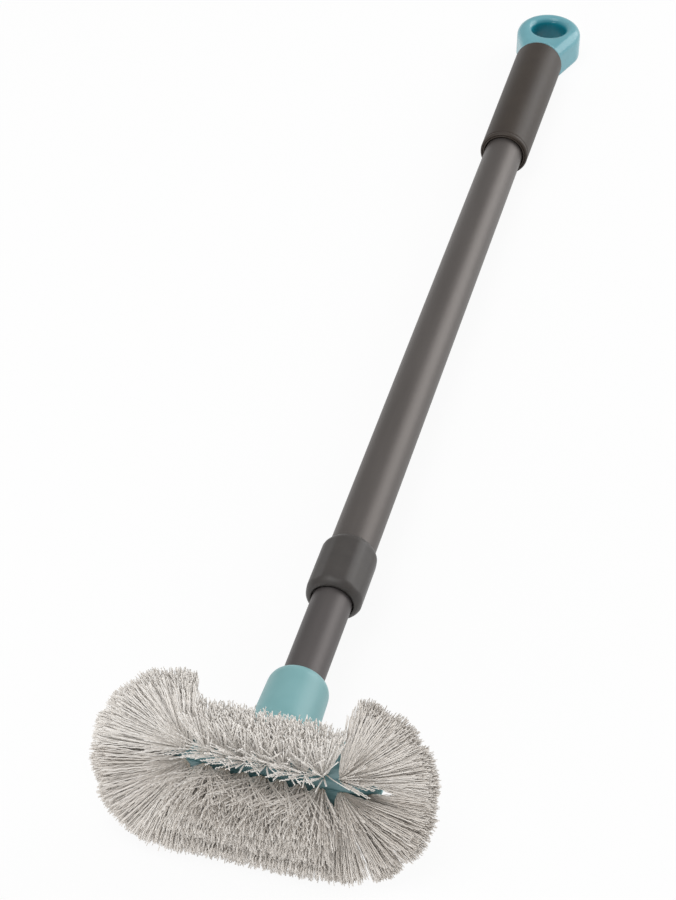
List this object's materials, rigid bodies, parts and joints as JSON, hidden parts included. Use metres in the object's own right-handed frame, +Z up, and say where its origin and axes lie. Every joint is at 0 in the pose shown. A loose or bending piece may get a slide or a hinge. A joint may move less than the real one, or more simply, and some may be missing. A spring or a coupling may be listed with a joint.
{
  "type": "scrub brush",
  "caption": "Telescopic scrub brush: teal oblong head with crimped bristles fanning all round, twist-lock metal handle, soft grip and a hanging ring.",
  "frame": {"origin": "the middle of the bottom of the bounding box, on the floor that the brush lies on", "axes": "+Y up the handle from the head to the ring, +Z up, +X along the head to the right as seen from behind the head"},
  "size_m": [0.1508, 0.6758, 0.0705],
  "materials": {
    "teal_plastic": "moulded, satin",
    "dark_plastic": "moulded, fine grain",
    "soft_grip": "soft sleeve, matt",
    "outer_tube_paint": "smooth paint, satin",
    "inner_tube_paint": "smooth paint, satin",
    "bristle": "crimped synthetic bristle",
    "natural_plastic": "uncoloured, inside",
    "steel": "plain pin"
  },
  "bodies": {
    "handle": {"hanging_ring": "teal_plastic", "ring_cross_pin": "steel", "grip_sleeve": "soft_grip", "outer_tube": "outer_tube_paint", "threaded_ferrule": "natural_plastic", "split_collet": "natural_plastic"},
    "collar": {"twist_collar": "dark_plastic"},
    "slider": {"guide_bush": "natural_plastic"},
    "head": {"inner_tube": "inner_tube_paint", "tube_end_insert": "dark_plastic", "head_block": "teal_plastic", "bristles_upper_row": "bristle", "bristles_lower_rows": "bristle", "bristles_left_upper": "bristle", "bristles_left_lower": "bristle", "bristles_right_upper": "bristle", "bristles_right_lower": "bristle"}
  },
  "joints": [
    {"name": "collar_twist", "type": "hinge", "parent": "handle", "child": "collar", "pos_m": [0, -0.17961, 0.02284], "axis": [0, 0.9998, -0.0177], "range_deg": [0, 90]},
    {"name": "telescope", "type": "slide", "parent": "handle", "child": "slider", "axis": [0, -0.9998, 0.0177], "range_m": [-0.042, 0.3]},
    {"name": "head_turn", "type": "hinge", "parent": "slider", "child": "head", "pos_m": [0, -0.2466, 0.02402], "axis": [0, 0.9998, -0.0177], "range_deg": [-180, 180]}
  ]
}
